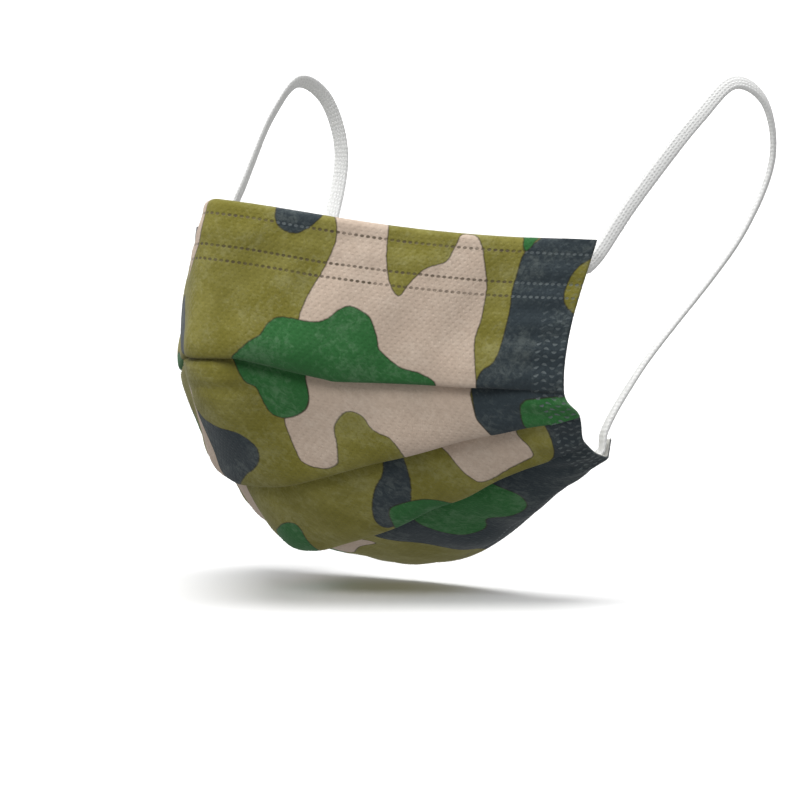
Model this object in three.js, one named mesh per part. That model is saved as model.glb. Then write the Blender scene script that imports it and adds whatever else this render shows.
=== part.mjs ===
// Pleated three-ply face mask for a child, in the shape that it has when worn.
// Millimetres, +Z up, the front of the mask faces -Y and the wearer's left is +X.
// The fabric is a smooth form through seven level curves, from the top edge to the bottom hem.
// Every fabric piece is a ribbon drawn on that form: so far down it, and so deep behind it.
import * as THREE from 'three';

// ---------------------------------------------------------------- driving sizes
const HALF_WIDTH = 73;          // half of the 146 mm flat width
const PLY = 0.3;                // thickness of each nonwoven ply, with its loft
const PLY_GAP = 0.3;            // air between plies
const PLEAT_STEP = 2.4;         // how far a panel sits behind the panel above it at the fold
const PLEAT_DEPTH_SIDE = 7;     // tucked depth of a pleat next to the side seal
const SEAL_WIDTH = 6.5;         // welded strip along each side
const SEAL_THICKNESS = 1.5;
const FIXED_PANEL_GAP = 0.4;    // nose panel to side seal
const MOVING_PANEL_GAP = 1.3;   // pleated panels to side seal
const TOP_FLAP = 13;            // outer ply folded over the top edge, behind the wire
const HEM_FLAP = 8;             // outer ply folded over the bottom edge
const WIRE_WIDTH = 3;
const WIRE_THICKNESS = 0.5;
const WIRE_LENGTH = 90;
const WIRE_DROP = 5;            // top edge to the upper side of the wire
const ELASTIC_WIDTH = 3;
const ELASTIC_THICKNESS = 1.2;
const ELASTIC_STEPS = 24;
const WELD_LENGTH = 5;          // flattened end of the elastic on the seal
const WELD_EDGE_SETBACK = 0.5;  // it stops this far inside the edge of the seal
const WELD_WIDTH = 4.5;
const WELD_THICKNESS = 0.6;
const WELD_DROP = 5;            // top edge or hem to the middle of a weld
const ACROSS_STEPS = 28;        // mesh steps from one side to the other

// One level curve each, from the top edge to the hem. y and z are on the centre plane,
// sideZ is the height at the side, dip is how far it hangs between them, turn is the heading
// reached beside the nose or chin, round is the arc over which it is reached, and curl is the
// further heading at the side.
const LEVELS = [
  { y: -25, z: 38, sideZ: 30, dip: 2.2, turn: 43.2, round: 2.8, curl: 0, power: 2, ease: 0.25, half: HALF_WIDTH },
  { y: -30, z: 16, sideZ: 13.5, dip: 0, turn: 44.6, round: 3.4, curl: 0, power: 2, ease: 0.6, half: 71 },
  { y: -28.5, z: 3.5, sideZ: 1.5, dip: 0, turn: 43.5, round: 5.5, curl: 2, power: 2, ease: 0.7, half: 69 },
  { y: -14, z: -18.5, sideZ: -3.5, dip: -1, turn: 37, round: 12, curl: 3, power: 2, ease: 0.15, half: 65 },
  { y: 2, z: -31, sideZ: -9, dip: 0, turn: 26, round: 16, curl: 10, power: 2, ease: 0.2, half: 60 },
  { y: 20, z: -35, sideZ: -12, dip: 0, turn: 6, round: 16, curl: 46, power: 3, ease: 0.6, half: 57 },
  { y: 35, z: -35.5, sideZ: -9, dip: 0, turn: -8, round: 10, curl: 70, power: 4, ease: 0.6, half: 55 },
];
const FOLD_LEVELS = [2, 3, 4];              // the three visible fold edges
const TUCK_AT_CENTRE = [3, 4, 5];           // what is left of each pleat at the centre
const HEM_LEVEL = LEVELS.length - 1;

const PRINTED_NONWOVEN = { color: 0x7d7832, roughness: 0.92, metalness: 0 };
const WHITE_NONWOVEN = { color: 0xf1f1ee, roughness: 0.9, metalness: 0 };
const FILTER_NONWOVEN = { color: 0xe9edf0, roughness: 0.95, metalness: 0 };
const KNIT_ELASTIC = { color: 0xf5f5f3, roughness: 0.85, metalness: 0 };
const COATED_WIRE = { color: 0xdadcdc, roughness: 0.45, metalness: 0 };
const WELDED_SEAL = { color: 0x4a5048, roughness: 0.7, metalness: 0 };

const group = new THREE.Group();
group.name = 'camo_face_mask';

function addNode(name, geometry, finish) {
  const mesh = new THREE.Mesh(geometry, new THREE.MeshStandardMaterial(finish));
  mesh.name = name;
  group.add(mesh);
  return mesh;
}

// ---------------------------------------------------------------- the worn form
const CURVE_STEPS = 240;

function traceLevel(level) {
  const reach = (t) => (Math.sqrt(t * t + level.ease ** 2) - level.ease)
    / (Math.sqrt(1 + level.ease ** 2) - level.ease);
  const height = (t) => (
    level.z + (level.sideZ - level.z) * reach(t) - level.dip * Math.sin(Math.PI * t)
  );
  const points = [new THREE.Vector3(0, level.y, height(0))];
  for (let i = 0; i < CURVE_STEPS; i += 1) {
    const t = (i + 0.5) / CURVE_STEPS;
    const step = level.half / CURVE_STEPS;
    const rise = height((i + 1) / CURVE_STEPS) - height(i / CURVE_STEPS);
    const heading = THREE.MathUtils.degToRad(
      level.turn * Math.tanh((t * level.half) / level.round) + level.curl * t ** level.power,
    );
    const flat = Math.sqrt(step * step - rise * rise);
    const last = points[i];
    points.push(new THREE.Vector3(
      last.x + flat * Math.cos(heading),
      last.y + flat * Math.sin(heading),
      last.z + rise,
    ));
  }
  return points;
}

const TRACES = LEVELS.map(traceLevel);

// Point on level curve number i, across runs from -1 at the right side to 1 at the left.
function levelPoint(i, across) {
  const place = Math.min(Math.abs(across), 1) * CURVE_STEPS;
  const low = Math.min(Math.floor(place), CURVE_STEPS - 1);
  const point = TRACES[i][low].clone().lerp(TRACES[i][low + 1], place - low);
  point.x *= Math.sign(across);
  return point;
}

// The levels beyond the two ends carry straight on.
function levelOrBeyond(i, across) {
  if (i < 0) {
    return levelPoint(0, across).multiplyScalar(2).sub(levelPoint(1, across));
  }
  if (i > HEM_LEVEL) {
    return levelPoint(HEM_LEVEL, across).multiplyScalar(2).sub(levelPoint(HEM_LEVEL - 1, across));
  }
  return levelPoint(i, across);
}

// Point of the form at a place between levels: a smooth cubic through the four nearest ones.
function formPoint(across, down) {
  const i = Math.max(0, Math.min(Math.floor(down), HEM_LEVEL - 1));
  const t = down - i;
  const before = levelOrBeyond(i - 1, across);
  const start = levelOrBeyond(i, across);
  const end = levelOrBeyond(i + 1, across);
  const after = levelOrBeyond(i + 2, across);
  const weights = [
    (-t + 2 * t * t - t ** 3) / 2,
    (2 - 5 * t * t + 3 * t ** 3) / 2,
    (t + 4 * t * t - 3 * t ** 3) / 2,
    (t ** 3 - t * t) / 2,
  ];
  return before.multiplyScalar(weights[0])
    .addScaledVector(start, weights[1])
    .addScaledVector(end, weights[2])
    .addScaledVector(after, weights[3]);
}

function formOutward(across, down) {
  const nudge = 0.004;
  const side = Math.min(Math.max(across, nudge - 1), 1 - nudge);
  const sideways = formPoint(side + nudge, down).sub(formPoint(side - nudge, down));
  const downward = formPoint(side, down + nudge).sub(formPoint(side, down - nudge));
  return downward.cross(sideways).normalize();
}

// A column of the form: how far down it, in millimetres of fabric, each level lies.
function makeColumn(across) {
  const perLevel = 16;
  const lengths = [0];
  let last = formPoint(across, 0);
  for (let i = 1; i <= HEM_LEVEL * perLevel; i += 1) {
    const next = formPoint(across, i / perLevel);
    lengths.push(lengths[i - 1] + next.distanceTo(last));
    last = next;
  }
  const downAt = (millimetres) => {
    let i = 1;
    while (i < lengths.length - 1 && lengths[i] < millimetres) i += 1;
    const span = lengths[i] - lengths[i - 1];
    return (i - 1 + (millimetres - lengths[i - 1]) / span) / perLevel;
  };
  return {
    across,
    level: (i) => lengths[i * perLevel],
    point: (millimetres, depth) => {
      const down = downAt(millimetres);
      return formPoint(across, down).addScaledVector(formOutward(across, down), -depth);
    },
  };
}

// ---------------------------------------------------------------- ribbons on the form
// A ribbon's section is a row of [down, depth] places in millimetres, with a thickness laid
// on the inner side of it. sectionAt gives that row for one column of the form.
function ribbonSolid(columns, sectionAt, thickness) {
  const positions = [];
  const indices = [];
  const rings = columns.map((column) => {
    const row = sectionAt(column);
    const outer = row.map(([down, depth]) => [down, depth]);
    const inner = row.map(([down, depth], i) => {
      const a = row[Math.max(i - 1, 0)];
      const b = row[Math.min(i + 1, row.length - 1)];
      const run = Math.hypot(b[0] - a[0], b[1] - a[1]);
      return [down - (thickness * (b[1] - a[1])) / run, depth + (thickness * (b[0] - a[0])) / run];
    });
    return outer.concat(inner.reverse()).map(([down, depth]) => column.point(down, depth));
  });
  const size = rings[0].length;
  rings.forEach((ring) => ring.forEach((p) => positions.push(p.x, p.y, p.z)));
  for (let r = 0; r < rings.length - 1; r += 1) {
    for (let i = 0; i < size; i += 1) {
      const a = r * size + i;
      const b = r * size + ((i + 1) % size);
      indices.push(a, b, a + size, b, b + size, a + size);
    }
  }
  const lastRing = (rings.length - 1) * size;
  for (let i = 0; i < size / 2 - 1; i += 1) {
    const j = size - 1 - i;
    indices.push(i, j, i + 1, i + 1, j, j - 1);
    indices.push(lastRing + i, lastRing + i + 1, lastRing + j);
    indices.push(lastRing + i + 1, lastRing + j - 1, lastRing + j);
  }
  const geometry = new THREE.BufferGeometry();
  geometry.setAttribute('position', new THREE.Float32BufferAttribute(positions, 3));
  geometry.setIndex(indices);
  geometry.computeVertexNormals();
  return geometry;
}

function addRibbon(name, columns, sectionAt, thickness, finish) {
  addNode(name, ribbonSolid(columns, sectionAt, thickness), finish);
}

// Columns from one side to the other, closer together beside the nose.
function columnsBetween(gapFromSeal) {
  const limit = (HALF_WIDTH - SEAL_WIDTH - gapFromSeal) / HALF_WIDTH;
  return Array.from({ length: ACROSS_STEPS + 1 }, (_, i) => {
    const t = (2 * i) / ACROSS_STEPS - 1;
    return makeColumn(limit * Math.sign(t) * Math.abs(t) ** 1.25);
  });
}

const FIXED_COLUMNS = columnsBetween(FIXED_PANEL_GAP);
const MOVING_COLUMNS = columnsBetween(MOVING_PANEL_GAP);

function evenly(from, to, steps, place) {
  return Array.from({ length: steps + 1 }, (_, i) => place(from + ((to - from) * i) / steps));
}

// Half-circle turn of the outer ply over an edge. It starts on the outer face and ends at
// the depth of the flap. outwards is -1 over the top edge and 1 over the bottom hem.
function edgeTurn(edge, outerDepth, flapDepth, outwards) {
  const radius = (flapDepth - outerDepth) / 2;
  return evenly(0, Math.PI, 4, (angle) => [
    edge - outwards * radius + outwards * radius * Math.sin(angle),
    outerDepth + radius * (1 - Math.cos(angle)),
  ]).slice(1, -1);
}

// Depth behind the form of each ply's outer face, counted from the front of the mask.
const OUTER_DEPTH = 0;
const FILTER_DEPTH = PLY + PLY_GAP;
const INNER_DEPTH = 2 * (PLY + PLY_GAP);
const WIRE_DEPTH = 3 * (PLY + PLY_GAP);
const TOP_FLAP_DEPTH = WIRE_DEPTH + WIRE_THICKNESS + PLY_GAP;
const HEM_FLAP_DEPTH = 3 * (PLY + PLY_GAP);
const EDGE_SETBACK = 1.6;       // filter and inner ply end this far inside a folded edge

// A panel's three plies: the printed one has a section of its own, the others share one.
function addPlies(panel, columns, outerSection, sectionAtDepth) {
  addRibbon(`${panel}_outer_ply`, columns, outerSection, PLY, PRINTED_NONWOVEN);
  addRibbon(`${panel}_filter_ply`, columns, sectionAtDepth(FILTER_DEPTH), PLY, FILTER_NONWOVEN);
  addRibbon(`${panel}_inner_ply`, columns, sectionAtDepth(INNER_DEPTH), PLY, WHITE_NONWOVEN);
}

// ---------------------------------------------------------------- nose panel
const NOSE_STEPS = 7;

function nosePanelPly(depth) {
  return (column) => {
    const fold = column.level(FOLD_LEVELS[0]);
    return evenly(EDGE_SETBACK, fold, NOSE_STEPS, (down) => [down, depth]);
  };
}

function nosePanelOuter(column) {
  const turnRadius = (TOP_FLAP_DEPTH + PLY) / 2;
  const fold = column.level(FOLD_LEVELS[0]);
  const flap = evenly(TOP_FLAP, turnRadius, 4, (down) => [down, TOP_FLAP_DEPTH + PLY]);
  const turn = edgeTurn(0, OUTER_DEPTH, TOP_FLAP_DEPTH + PLY, -1).reverse();
  const face = evenly(turnRadius, fold, NOSE_STEPS, (down) => [down, OUTER_DEPTH]);
  return [...flap, ...turn, ...face];
}

addPlies('nose_panel', FIXED_COLUMNS, nosePanelOuter, nosePanelPly);

// ---------------------------------------------------------------- pleated panels
// A panel starts tucked behind the one above, PLEAT_STEP deep at that panel's fold edge,
// and comes forward to the form at its own fold edge.
function panelDepth(column, number, down) {
  const upperFold = column.level(FOLD_LEVELS[number]);
  const lowerLevel = number < FOLD_LEVELS.length - 1 ? FOLD_LEVELS[number + 1] : HEM_LEVEL;
  const lowerFold = column.level(lowerLevel);
  const shingle = PLEAT_STEP * (lowerFold - down) / (lowerFold - upperFold);
  if (down >= upperFold || number === 0) return shingle;
  return PLEAT_STEP + panelDepth(column, number - 1, down);
}

function tuckDepth(column, number) {
  const centre = TUCK_AT_CENTRE[number];
  return centre + (PLEAT_DEPTH_SIDE - centre) * Math.abs(column.across) ** 1.5;
}

function pleatPanelPly(number, plyDepth) {
  return (column) => {
    const start = column.level(FOLD_LEVELS[number]);
    const tuck = tuckDepth(column, number);
    const end = column.level(FOLD_LEVELS[number + 1]);
    const place = (down) => [down, plyDepth + panelDepth(column, number, down)];
    return [...evenly(start - tuck, start, 2, place), ...evenly(start, end, 3, place).slice(1)];
  };
}

['cheek_panel', 'mouth_panel'].forEach((panel, number) => {
  const sectionAtDepth = (depth) => pleatPanelPly(number, depth);
  addPlies(panel, MOVING_COLUMNS, sectionAtDepth(OUTER_DEPTH), sectionAtDepth);
});

// ---------------------------------------------------------------- chin panel
const CHIN_PLEAT = FOLD_LEVELS.length - 1;
const CHIN_STEPS = 6;

function chinRows(column, plyDepth, end) {
  const start = column.level(FOLD_LEVELS[CHIN_PLEAT]);
  const tuck = tuckDepth(column, CHIN_PLEAT);
  const place = (down) => [down, plyDepth + panelDepth(column, CHIN_PLEAT, down)];
  return [...evenly(start - tuck, start, 2, place), ...evenly(start, end, CHIN_STEPS, place).slice(1)];
}

function chinPanelPly(plyDepth) {
  return (column) => chinRows(column, plyDepth, column.level(HEM_LEVEL) - EDGE_SETBACK);
}

function chinPanelOuter(column) {
  const hem = column.level(HEM_LEVEL);
  const turnRadius = (HEM_FLAP_DEPTH + PLY) / 2;
  const flapStart = hem - turnRadius;
  const behind = (down) => [down, HEM_FLAP_DEPTH + PLY + panelDepth(column, CHIN_PLEAT, down)];
  const face = chinRows(column, OUTER_DEPTH, flapStart);
  const turn = edgeTurn(hem, OUTER_DEPTH, HEM_FLAP_DEPTH + PLY, 1);
  const flap = evenly(flapStart, hem - HEM_FLAP, 3, behind);
  return [...face, ...turn, ...flap];
}

addPlies('chin_panel', MOVING_COLUMNS, chinPanelOuter, chinPanelPly);

// ---------------------------------------------------------------- nose wire
// A flat coated wire in the channel between the inner ply and the folded-over flap.
function wireSection() {
  return evenly(WIRE_DROP, WIRE_DROP + WIRE_WIDTH, 2, (down) => [down, WIRE_DEPTH]);
}

const WIRE_COLUMNS = evenly(-1, 1, ACROSS_STEPS, (t) => (
  makeColumn(((WIRE_LENGTH / 2) / HALF_WIDTH) * Math.sign(t) * Math.abs(t) ** 1.25)
));
addRibbon('nose_wire', WIRE_COLUMNS, wireSection, WIRE_THICKNESS, COATED_WIRE);

// ---------------------------------------------------------------- side seals and elastic
const SEAL_STEPS = 20;
const SIDES = [['left', 1], ['right', -1]];

function sealSection(column) {
  return evenly(0, column.level(HEM_LEVEL), SEAL_STEPS, (down) => [down, 0]);
}

// A flattened elastic end, welded to the back of the seal.
function weldSection(fromTop) {
  return (column) => {
    const middle = fromTop ? WELD_DROP : column.level(HEM_LEVEL) - WELD_DROP;
    const half = WELD_WIDTH / 2;
    return evenly(middle - half, middle + half, 2, (down) => [down, SEAL_THICKNESS + PLY_GAP]);
  };
}

function weldExit(side, fromTop) {
  const column = makeColumn(side);
  const middle = fromTop ? WELD_DROP : column.level(HEM_LEVEL) - WELD_DROP;
  return column.point(middle, SEAL_THICKNESS + PLY_GAP + ELASTIC_WIDTH / 2);
}

function elasticShape() {
  const shape = new THREE.Shape();
  evenly(0, 7, 7, (i) => (Math.PI * (2 * i + 1)) / 8).forEach((angle, i) => {
    const x = (ELASTIC_THICKNESS / 2) * Math.cos(angle);
    const y = (ELASTIC_WIDTH / 2) * Math.sin(angle);
    if (i === 0) shape.moveTo(x, y);
    else shape.lineTo(x, y);
  });
  shape.closePath();
  return shape;
}

// The loop leaves both welds up and back, passes over the ear and turns behind it.
function elasticPath(side) {
  const upper = weldExit(side, true);
  const lower = weldExit(side, false);
  const upperWay = new THREE.Vector3(side * 0.12, 0.65, 0.75).normalize();
  const lowerWay = new THREE.Vector3(side * 0.12, 0.58, 0.81).normalize();
  const clearOfWeld = 1.8;
  const straight = 16;
  const aroundEar = [[57, 49, 53], [58.3, 58, 59.5], [58.8, 66.5, 56], [58, 70.5, 45.5], [55.5, 65, 31]];
  return new THREE.CatmullRomCurve3([
    upper.clone().addScaledVector(upperWay, clearOfWeld),
    upper.clone().addScaledVector(upperWay, straight),
    ...aroundEar.map(([x, y, z]) => new THREE.Vector3(side * x, y, z)),
    lower.clone().addScaledVector(lowerWay, straight),
    lower.clone().addScaledVector(lowerWay, clearOfWeld),
  ], false, 'centripetal');
}

// Columns between two distances from the edge, in the order that faces the solids outwards.
function sideColumns(side, fromEdge, toEdge) {
  const columns = evenly(1 - fromEdge / HALF_WIDTH, 1 - toEdge / HALF_WIDTH, 2, (across) => (
    makeColumn(side * across)
  ));
  return side < 0 ? columns.reverse() : columns;
}

SIDES.forEach(([name, side]) => {
  const sealColumns = sideColumns(side, SEAL_WIDTH, 0);
  const weldColumns = sideColumns(side, WELD_LENGTH + WELD_EDGE_SETBACK, WELD_EDGE_SETBACK);
  addRibbon(`side_seal_${name}`, sealColumns, sealSection, SEAL_THICKNESS, WELDED_SEAL);
  addRibbon(`ear_loop_weld_upper_${name}`, weldColumns, weldSection(true), WELD_THICKNESS, KNIT_ELASTIC);
  addRibbon(`ear_loop_weld_lower_${name}`, weldColumns, weldSection(false), WELD_THICKNESS, KNIT_ELASTIC);
  const loop = new THREE.ExtrudeGeometry(elasticShape(), {
    steps: ELASTIC_STEPS,
    bevelEnabled: false,
    extrudePath: elasticPath(side),
  });
  addNode(`ear_loop_${name}`, loop, KNIT_ELASTIC);
});

export default group;
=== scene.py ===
"""Looks of a child's pleated camouflage face mask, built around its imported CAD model.

The fabric follows the same worn form as the CAD: a smooth surface through seven level curves.
Places on it are given as across, from -1 at the right side to 1 at the left, and as
millimetres down from the top edge and behind the surface.
"""

import math
from functools import partial

import bpy
import numpy as np
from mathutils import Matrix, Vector


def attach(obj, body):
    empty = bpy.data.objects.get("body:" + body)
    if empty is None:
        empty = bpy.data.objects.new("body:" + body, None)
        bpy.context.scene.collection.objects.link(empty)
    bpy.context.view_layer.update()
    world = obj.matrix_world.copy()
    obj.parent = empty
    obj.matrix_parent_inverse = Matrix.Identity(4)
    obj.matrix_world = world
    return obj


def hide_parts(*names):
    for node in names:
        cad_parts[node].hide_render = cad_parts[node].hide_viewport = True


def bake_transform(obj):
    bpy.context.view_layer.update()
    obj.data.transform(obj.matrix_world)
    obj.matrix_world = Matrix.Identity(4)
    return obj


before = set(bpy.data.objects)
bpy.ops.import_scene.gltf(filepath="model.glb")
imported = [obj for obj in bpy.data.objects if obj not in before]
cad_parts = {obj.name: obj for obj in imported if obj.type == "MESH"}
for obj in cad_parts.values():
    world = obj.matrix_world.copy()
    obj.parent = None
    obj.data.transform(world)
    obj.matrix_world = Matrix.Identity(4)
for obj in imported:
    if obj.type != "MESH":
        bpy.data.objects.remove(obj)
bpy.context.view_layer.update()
MM = 0.001

# ---------------------------------------------------------------- the CAD's sizes, in mm
HALF_WIDTH = 73
PLY = 0.3
PLY_GAP = 0.3
PLEAT_STEP = 2.4
PLEAT_DEPTH_SIDE = 7
SEAL_WIDTH = 6.5
SEAL_THICKNESS = 1.5
TOP_FLAP = 13
HEM_FLAP = 8
WIRE_WIDTH = 3
WIRE_THICKNESS = 0.5
WIRE_DROP = 5
WIRE_HALF_LENGTH = 45
ELASTIC_WIDTH = 3
ELASTIC_THICKNESS = 1.2
WELD_LENGTH = 5
WELD_EDGE_SETBACK = 0.5
WELD_WIDTH = 4.5
WELD_THICKNESS = 0.6
WELD_DROP = 5
EDGE_SETBACK = 1.6

LEVELS = [
    dict(y=-25, z=38, side_z=30, dip=2.2, turn=43.2, round=2.8, curl=0, power=2, ease=0.25, half=73),
    dict(y=-30, z=16, side_z=13.5, dip=0, turn=44.6, round=3.4, curl=0, power=2, ease=0.6, half=71),
    dict(y=-28.5, z=3.5, side_z=1.5, dip=0, turn=43.5, round=5.5, curl=2, power=2, ease=0.7, half=69),
    dict(y=-14, z=-18.5, side_z=-3.5, dip=-1, turn=37, round=12, curl=3, power=2, ease=0.15, half=65),
    dict(y=2, z=-31, side_z=-9, dip=0, turn=26, round=16, curl=10, power=2, ease=0.2, half=60),
    dict(y=20, z=-35, side_z=-12, dip=0, turn=6, round=16, curl=46, power=3, ease=0.6, half=57),
    dict(y=35, z=-35.5, side_z=-9, dip=0, turn=-8, round=10, curl=70, power=4, ease=0.6, half=55),
]
FOLD_LEVELS = [2, 3, 4]
TUCK_AT_CENTRE = [3, 4, 5]
HEM_LEVEL = len(LEVELS) - 1

# The elastic's route past its straight ends, in mm on the left side, as in the CAD.
AROUND_EAR = [(57, 49, 53), (58.3, 58, 59.5), (58.8, 66.5, 56), (58, 70.5, 45.5), (55.5, 65, 31)]
UPPER_WAY = Vector((0.12, 0.65, 0.75)).normalized()
LOWER_WAY = Vector((0.12, 0.58, 0.81)).normalized()
STRAIGHT_END = 16
SIDES = [("left", 1), ("right", -1)]

# ---------------------------------------------------------------- camera
CAMERA_AZIMUTH = math.radians(43)
CAMERA_ELEVATION = math.radians(4)
CAMERA_DISTANCE = 0.9
SENSOR_WIDTH = 36
VIEW_WIDTH = 0.1538            # width seen at the distance of the view's middle
VIEW_MIDDLE_RIGHT = 0.0181     # the view's middle is this far right of the row's origin
VIEW_MIDDLE_DOWN = 0.0015


def add_camera():
    """A long lens that looks at the mask's left front from slightly above."""
    right = Vector((math.cos(CAMERA_AZIMUTH), math.sin(CAMERA_AZIMUTH), 0))
    level = math.cos(CAMERA_ELEVATION)
    toward = Vector((
        math.sin(CAMERA_AZIMUTH) * level,
        -math.cos(CAMERA_AZIMUTH) * level,
        math.sin(CAMERA_ELEVATION),
    ))
    middle = right * VIEW_MIDDLE_RIGHT - right.cross(-toward) * VIEW_MIDDLE_DOWN
    data = bpy.data.cameras.new("product_camera")
    data.sensor_width = SENSOR_WIDTH
    data.lens = SENSOR_WIDTH * CAMERA_DISTANCE / VIEW_WIDTH
    camera = bpy.data.objects.new("product_camera", data)
    camera.location = middle + toward * CAMERA_DISTANCE
    camera.rotation_euler = (-toward).to_track_quat("-Z", "Y").to_euler()
    bpy.context.scene.collection.objects.link(camera)
    bpy.context.scene.camera = camera


add_camera()

# ---------------------------------------------------------------- the worn form
CURVE_STEPS = 240


def trace_level(level):
    """One half of a level curve, from the centre plane to the side, as an array of points."""
    ease = level["ease"]

    def height(t):
        reach = (np.sqrt(t * t + ease**2) - ease) / (math.sqrt(1 + ease**2) - ease)
        rise = (level["side_z"] - level["z"]) * reach
        return level["z"] + rise - level["dip"] * np.sin(np.pi * t)

    ends = np.linspace(0, 1, CURVE_STEPS + 1)
    t = (ends[1:] + ends[:-1]) / 2
    step = level["half"] / CURVE_STEPS
    rise = np.diff(height(ends))
    heading = np.radians(
        level["turn"] * np.tanh(t * level["half"] / level["round"]) + level["curl"] * t ** level["power"]
    )
    flat = np.sqrt(step * step - rise * rise)
    moves = np.stack([flat * np.cos(heading), flat * np.sin(heading), rise], 1)
    start = np.array([0, level["y"], float(height(np.float64(0)))])
    return np.concatenate([[start], start + np.cumsum(moves, 0)])


TRACES = [trace_level(level) for level in LEVELS]


def level_points(across):
    """The points of all levels at one place across, with one more carried on beyond each end."""
    place = min(abs(across), 1) * CURVE_STEPS
    low = min(int(place), CURVE_STEPS - 1)
    rows = [trace[low] + (trace[low + 1] - trace[low]) * (place - low) for trace in TRACES]
    points = np.array(rows)
    points[:, 0] *= math.copysign(1, across) if across else 1
    if across == 0:
        points[:, 0] = 0
    return np.concatenate([[2 * points[0] - points[1]], points, [2 * points[-1] - points[-2]]])


def cubic_weights(t):
    """The shares of four points in a row in the smooth curve between the middle two."""
    return (
        (-t + 2 * t**2 - t**3) / 2,
        (2 - 5 * t**2 + 3 * t**3) / 2,
        (t + 4 * t**2 - 3 * t**3) / 2,
        (t**3 - t**2) / 2,
    )


def curve_through(points, down):
    """Points of the smooth cubic through the levels, at an array of places down it."""
    first = np.clip(np.floor(down).astype(int), 0, HEM_LEVEL - 1)
    weights = cubic_weights((down - first)[:, None])
    return sum(points[first + number] * weight for number, weight in enumerate(weights))


class Column:
    """A line down the form at one place across it."""

    PER_LEVEL = 16
    NUDGE = 0.004

    def __init__(self, across):
        self.across = across
        self.mm = across * HALF_WIDTH
        side = min(max(across, self.NUDGE - 1), 1 - self.NUDGE)
        self.points = level_points(across)
        self.beside = level_points(side + self.NUDGE), level_points(side - self.NUDGE)
        self.downs = np.arange(HEM_LEVEL * self.PER_LEVEL + 1) / self.PER_LEVEL
        line = curve_through(self.points, self.downs)
        steps = np.linalg.norm(np.diff(line, axis=0), axis=1)
        self.lengths = np.concatenate([[0], np.cumsum(steps)])

    def level(self, i):
        return self.lengths[i * self.PER_LEVEL]

    def place(self, millimetres, depth):
        """Points so far down the form and so deep behind it, in mm."""
        millimetres = np.asarray(millimetres, float)
        last = self.lengths[-1]
        down = np.interp(millimetres, self.lengths, self.downs)
        first_step = self.downs[1] / self.lengths[1]
        last_step = (self.downs[-1] - self.downs[-2]) / (last - self.lengths[-2])
        down = np.where(millimetres < 0, millimetres * first_step, down)
        down = np.where(millimetres > last, self.downs[-1] + (millimetres - last) * last_step, down)
        sideways = curve_through(self.beside[0], down) - curve_through(self.beside[1], down)
        downward = curve_through(self.points, down + self.NUDGE) - curve_through(
            self.points, down - self.NUDGE
        )
        outward = np.cross(downward, sideways)
        outward /= np.linalg.norm(outward, axis=1)[:, None]
        return curve_through(self.points, down) - outward * np.asarray(depth)[:, None]


def smooth_step(start, end, value):
    t = np.clip((value - start) / (end - start), 0, 1)
    return t * t * (3 - 2 * t)


# ---------------------------------------------------------------- how the plies lie
# Toward the side seals the weld presses the plies and pleats together.
PRESS_START = 56
PRESS_END = 67
PRESSED_SHARE = 0.22
PANEL_END = 67.6               # the panels run on under the seal strip by about 1 mm
RETURN_STRIP = 1.2             # fabric that turns up behind each fold edge
FABRIC_STEP = 0.8              # mesh size of the printed ply
LINING_SETBACK = 0.3           # the other plies end this much sooner than the printed one
LINING_STEP = 1.6              # mesh size of the other plies


def pressed(column):
    share = smooth_step(PRESS_START, PRESS_END, abs(column.mm))
    return 1 - (1 - PRESSED_SHARE) * float(share)


def lower_level(number):
    """The level of a pleated panel's lower edge: the next fold, or the hem."""
    return [*FOLD_LEVELS, HEM_LEVEL][number + 1]


def shingle(column, number, down):
    """Depth of a pleated panel behind the form: it comes forward to its own fold edge."""
    upper = column.level(FOLD_LEVELS[number])
    lower = column.level(lower_level(number))
    depth = PLEAT_STEP * (lower - down) / (lower - upper)
    if number == 0:
        return depth
    tucked = PLEAT_STEP + shingle(column, number - 1, down)
    return np.where(down >= upper, depth, tucked)


# Over the ridge the first fold is pulled up, to a peak on its left, and runs down beyond it.
RISE_START = -40               # mm across where the fold edge begins to climb
RISE_FULL = -16
RISE_PEAK = 8.5
RISE_END = 27
RISE_HEIGHT = 4.4


def fold_rise(column):
    """How far the first fold's visible edge lies above its level, in mm."""
    climbs = smooth_step(RISE_START, RISE_FULL, column.mm)
    falls = np.clip((RISE_END - column.mm) / (RISE_END - RISE_PEAK), 0, 1)
    return RISE_HEIGHT * float(climbs * falls)


def first_edge(column):
    return column.level(FOLD_LEVELS[0]) - fold_rise(column)


def tuck(column, number):
    """How far a panel runs up behind the fold above it, in mm."""
    centre = TUCK_AT_CENTRE[number]
    hidden = centre + (PLEAT_DEPTH_SIDE - centre) * abs(column.across) ** 1.5
    return hidden + (fold_rise(column) if number == 0 else 0)


WAVES = [
    # (mm across per wave, mm down per wave, phase, height in mm)
    (46, 34, 0.4, 0.38),
    (-29, 41, 2.1, 0.26),
    (17, -58, 4.4, 0.16),
    (11, 23, 1.2, 0.09),
]
ROLLS = [
    # (level, mm across at its strongest, reach across, extra height there, height elsewhere, width)
    (2, 18, 12, 1.1, 0.15, 5.0),
    (3, 30, 26, 0.35, 0.3, 4.0),
    (3, -30, 26, 0.35, 0, 4.0),
    (4, 30, 26, 0.3, 0.25, 4.0),
    (4, -30, 26, 0.3, 0, 4.0),
]
CREASES = [
    # (mm across, mm down, slope, length, width, depth): soft creases where a pleat runs out
    (4, 36.5, -0.05, 9, 1.0, 0.75),
    (28, 56, -0.45, 12, 1.6, 0.35),
    (-24, 52, 0.4, 10, 1.6, 0.3),
]
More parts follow.
